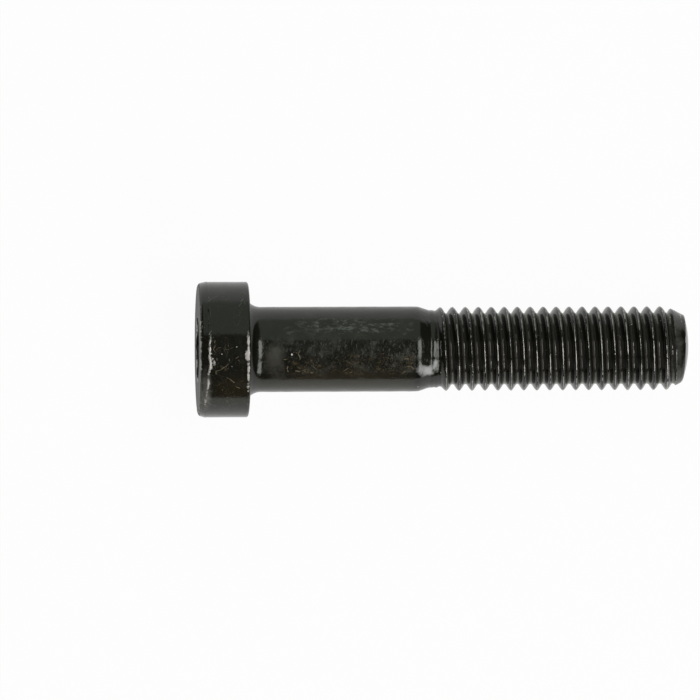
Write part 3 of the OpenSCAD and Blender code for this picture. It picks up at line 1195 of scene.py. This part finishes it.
def shank_finish(groups, finish):
    """Scaly oxide: pale streaks above, a tan network and brown film on the near side."""
    coat = Coat(
        "scaled shank", groups, finish, cloud_size=0.5, thin=0.38, smooth=0.11, rough=0.27
    )
    film = coat.marks(((11.0, -4.6, 2.4), (12.0, 3.4, 4.4), 0.9, 0.5, 0.5))
    streaks = coat.streaks(
        size=1.3, width=0.10, patches=finish.blotches, stretch=(0.5, 1.0, 1.0)
    )
    streaked = coat.marks(
        ((11.9, 2.7, 4.1), (8.9, 1.2, 1.6), 1.0, 0.8, 0.5),
        ((10.0, -3.0, -4.0), (7.0, 2.2, 2.2), 1.0, 1.0, 0.5),
    )
    network = coat.streaks(size=1.6, width=0.06, patches=0.6)
    netted = coat.marks(
        (top_point(14.0, -1.9, SHANK_RADIUS), (5.8, 1.9, 2.0), 0.9, 1.0, 0.6),
        (top_point(6.6, -2.1, SHANK_RADIUS), (3.2, 1.7, 2.0), 0.9, 1.0, 0.6),
        (top_point(18.4, -1.7, SHANK_RADIUS), (1.3, 1.6, 1.5), 0.5, 1.0, 0.5),
        ((8.0, 2.0, -4.4), (6.0, 2.0, 2.0), 0.9, 1.0, 0.6),
    )
    dots = coat.scratches(SHANK_BARE, SHANK_RADIUS, wobble=0.1, soft=0.4)
    smooth = coat.marks((top_point(2.85, -1.2, SHANK_RADIUS), (1.4, 2.9, 2.4), 1.6, 1.3, 0.8))
    fillet = coat.marks(((-0.1, 0.0, 0.0), (1.3, 9.0, 9.0), 0.3, 0.8, 0.4))
    by_head = coat.marks(((0.9, 0.0, 0.0), (3.0, 9.0, 9.0), 0.6, 0.8, 0.5))

    # Painted shade, darker than the oxide, in the corner of the fillet under the head
    coat.lay(fillet, FILLET_PAINTED_SHADE)
    coat.lay(film, SHANK_FILM, strength=0.6)
    mottle = coat.clouds(
        stretch=(0.7, 1.0, 1.0), scale=1.7, detail=5, roughness=0.7, span=(0.52, 0.72), most=0.9
    )
    coat.lay(coat.times(mottle, netted), SHANK_MOTTLE)
    coat.lay(smooth, SHANK_GREY, strength=0.85)
    pale = coat.times(coat.times(streaks, streaked), 0.12)
    blotch = coat.clouds(
        stretch=(0.5, 1.0, 1.0), scale=2.7, detail=4, roughness=0.55, span=(0.46, 0.7), most=0.55
    )
    pale = coat.math("MAXIMUM", pale, coat.times(blotch, streaked))
    # Pale smears, and one painted reflection line near the head
    smears_and_reflection = coat.scratches(SHANK_PALE_AND_REFLECTION, SHANK_RADIUS, wobble=0.6, soft=1.7)
    flecks_and_reflection = coat.math("MAXIMUM", pale, coat.times(smears_and_reflection, 0.5))
    coat.lay(flecks_and_reflection, SHANK_FLECK_AND_REFLECTION)
    lines = coat.times(coat.times(network, netted), 0.3)
    cracks = coat.scratches(SHANK_TAN, SHANK_RADIUS, wobble=0.22, soft=1.1)
    coat.lay(coat.math("MAXIMUM", lines, cracks), opaque(finish.tan))
    coat.lay(dots, SHANK_DOT)
    coat.dull(by_head, roughness=0.12)
    coat.dull(flecks_and_reflection, roughness=0.45, full=0.8)
    height = coat.math("MULTIPLY_ADD", pale, 0.6, coat.oxide["Height"])
    return coat.finished(height, strength=0.3, depth=0.02 * MM)


def thread_finish(groups, finish):
    """Dark rolled thread: bright broken crests, burnished roots, a worn patch on the neck whose
    pale grey is partly a painted highlight, and painted highlight bars on the first crest.
    """
    coat = Coat(
        "rolled thread", groups, finish, cloud_size=0.7, thin=0.22, smooth=0.10, rough=0.26
    )
    edge = coat.worn_edge(finish.crest_wear, chip_size=1.8, contrast=0.8)
    specks = coat.place("specks", {"Count": 2.4, "Share": 0.1, "Radius": 0.25})["Mask"]
    patch = coat.scratches(NECK_WEAR_AND_HIGHLIGHT_MARKS, NECK_RADIUS, wobble=0.5, soft=0.9)
    chamfer = coat.marks(((49.2, 0.0, 0.0), (1.15, 6.0, 6.0), 0.8, 1.0, 0.7))

    coat.lay(chamfer, CHAMFER_WORN, strength=0.6)
    burnish = coat.stored("burnish")
    coat.lay(burnish, GROOVE_BURNISHED)
    bare = coat.math("MAXIMUM", edge, specks)
    coat.lay(bare, opaque(finish.steel))
    # Pale grey over the neck's wear and the first crest: partly a painted highlight, matt and
    # without metal there
    coat.lay(patch, NECK_WEAR_AND_HIGHLIGHT_PALE)
    metal = coat.math("MAXIMUM", bare, burnish)
    metal = coat.math("SUBTRACT", metal, patch, clamp=True)
    coat.dull(chamfer, roughness=0.42)
    coat.dull(bare, roughness=0.42)
    coat.dull(patch, roughness=0.45)
    return coat.finished(coat.oxide["Height"], strength=0.3, depth=0.02 * MM, metal=metal)


class CAPSCREW_OT_screw(bpy.types.Operator):
    """Build the screw's skin with its three finishes"""

    bl_idname = "capscrew.build_screw"
    bl_label = "Build Screw"

    def execute(self, context):
        finish = context.scene.screw_finish
        mesh = build_screw_mesh(context.scene.screw_sizes)
        groups = {
            "oxide": oxide_group(),
            "edge": worn_edge_group(),
            "streaks": streak_group(),
            "specks": speck_group(),
            "mark": mark_group(),
            "scratch": scratch_group(),
        }
        for make in (head_finish, shank_finish, thread_finish):
            mesh.materials.append(make(groups, finish))
        screw = bpy.data.objects.new(PIECE, mesh)
        context.scene.collection.objects.link(screw)
        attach(screw, BODY)
        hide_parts(CAD_NODE)
        return {"FINISHED"}


def white_floor(settings):
    """A white floor that stays white to the camera and keeps the screw's shadow."""
    bpy.ops.mesh.primitive_plane_add(size=FLOOR_WIDTH)
    floor = bpy.context.object
    floor.name = "studio_floor"
    material = bpy.data.materials.new("white floor")
    material.use_nodes = True
    tree = material.node_tree
    tree.nodes.clear()
    paint = add_node(tree, "ShaderNodeBsdfDiffuse", {"Color": opaque(settings.floor)})
    glow = add_node(tree, "ShaderNodeEmission", {"Color": WHITE, "Strength": 1.0})
    path = add_node(tree, "ShaderNodeLightPath").outputs
    straight = add_math(tree, "MAXIMUM", path["Is Camera Ray"], path["Is Transmission Ray"])
    straight = add_math(tree, "MULTIPLY", straight, settings.floor_glow)
    mirrored = add_math(tree, "MULTIPLY", path["Is Glossy Ray"], settings.mirrored_glow)
    seen = add_math(tree, "MAXIMUM", straight, mirrored)
    inputs = {0: seen, 1: paint.outputs[0], 2: glow.outputs[0]}
    both = add_node(tree, "ShaderNodeMixShader", inputs)
    add_node(tree, "ShaderNodeOutputMaterial", {"Surface": both.outputs[0]})
    arrange(tree)
    floor.data.materials.append(material)


def studio_world(scene, settings):
    """A dark studio with a pale panel over the far side, and white straight to the camera."""
    world = bpy.data.worlds.new("studio")
    world.use_nodes = True
    scene.world = world
    tree = world.node_tree
    tree.nodes.clear()
    where = add_node(tree, "ShaderNodeTexCoord").outputs["Generated"]
    towards = add_vector_math(tree, "DOT_PRODUCT", where, PANEL_SIDE)
    panel = add_range(tree, towards, -PANEL_EDGE, PANEL_EDGE)
    axes = add_node(tree, "ShaderNodeSeparateXYZ", {0: where})
    sideways = add_math(tree, "ABSOLUTE", axes.outputs["X"])
    within = add_range(tree, sideways, *PANEL_ENDS, 1.0, 0.0)
    panel = add_math(tree, "MULTIPLY", panel, within)
    shade = add_mix(tree, panel, opaque(settings.gloom), opaque(settings.panel))
    path = add_node(tree, "ShaderNodeLightPath").outputs
    plain = add_mix(tree, path["Is Camera Ray"], shade, WHITE)
    back = add_node(tree, "ShaderNodeBackground", {"Color": plain})
    add_node(tree, "ShaderNodeOutputWorld", {"Surface": back.outputs[0]})
    arrange(tree)


def strip_light(scene, name, centre, width, depth, power):
    """A strip light at a place in metres, turned towards the screw."""
    lamp = bpy.data.lights.new(name, "AREA")
    lamp.shape = "RECTANGLE"
    lamp.size = width
    lamp.size_y = depth
    lamp.energy = power
    light = bpy.data.objects.new(name, lamp)
    light.location = centre
    back = Vector(centre).normalized()
    across = (Vector((1, 0, 0)) - back * back.x).normalized()
    turned = Matrix((across, back.cross(across), back)).transposed()
    light.rotation_mode = "QUATERNION"
    light.rotation_quaternion = turned.to_quaternion()
    light.visible_camera = False
    scene.collection.objects.link(light)


def place_camera(scene, settings):
    """A long lens straight above the screw."""
    lens = bpy.data.cameras.new("camera")
    lens.sensor_width = SENSOR_WIDTH
    lens.lens = LENS
    lens.clip_start = NEAREST
    lens.clip_end = FARTHEST
    camera = bpy.data.objects.new("camera", lens)
    camera.location = (*CAMERA_OVER, settings.camera_height)
    camera.rotation_euler = (0, 0, CAMERA_ROLL)
    scene.collection.objects.link(camera)
    scene.camera = camera


class CAPSCREW_OT_stage(bpy.types.Operator):
    """Set up the white floor, the studio light and the camera"""

    bl_idname = "capscrew.build_stage"
    bl_label = "Build Stage"

    def execute(self, context):
        scene = context.scene
        settings = scene.screw_stage
        scene.view_settings.view_transform = "Standard"
        white_floor(settings)
        studio_world(scene, settings)
        strip_light(scene, "box_over_point", *POINT_STRIP, settings.strip_power)
        strip_light(scene, "box_near_side", *SIDE_STRIP, settings.side_power)
        place_camera(scene, settings)
        return {"FINISHED"}


class CAPSCREW_PT_panel(bpy.types.Panel):
    """Builds the screw and its stage, with the values that they use"""

    bl_idname = "CAPSCREW_PT_panel"
    bl_label = "Cap Screw"
    bl_space_type = "VIEW_3D"
    bl_region_type = "UI"
    bl_category = "Cap Screw"

    def draw(self, context):
        layout = self.layout
        layout.operator(CAPSCREW_OT_screw.bl_idname)
        layout.operator(CAPSCREW_OT_stage.bl_idname)
        for group in ("screw_sizes", "screw_finish", "screw_stage"):
            values = getattr(context.scene, group)
            box = layout.box()
            for name in values.__annotations__:
                box.prop(values, name)


PROPERTY_GROUPS = {
    "screw_sizes": ScrewSizes,
    "screw_finish": ScrewFinish,
    "screw_stage": StageSettings,
}
CLASSES = (
    ScrewSizes,
    ScrewFinish,
    StageSettings,
    CAPSCREW_OT_screw,
    CAPSCREW_OT_stage,
    CAPSCREW_PT_panel,
)


def register():
    """Registers the classes and hangs their values on the scene."""
    for cls in CLASSES:
        bpy.utils.register_class(cls)
    for name, cls in PROPERTY_GROUPS.items():
        setattr(bpy.types.Scene, name, PointerProperty(type=cls))


def unregister():
    """Takes the values and classes away again."""
    for name in PROPERTY_GROUPS:
        delattr(bpy.types.Scene, name)
    for cls in reversed(CLASSES):
        bpy.utils.unregister_class(cls)


def main():
    """Builds everything."""
    register()
    bpy.ops.capscrew.build_screw()
    bpy.ops.capscrew.build_stage()


if __name__ == "__main__":
    main()
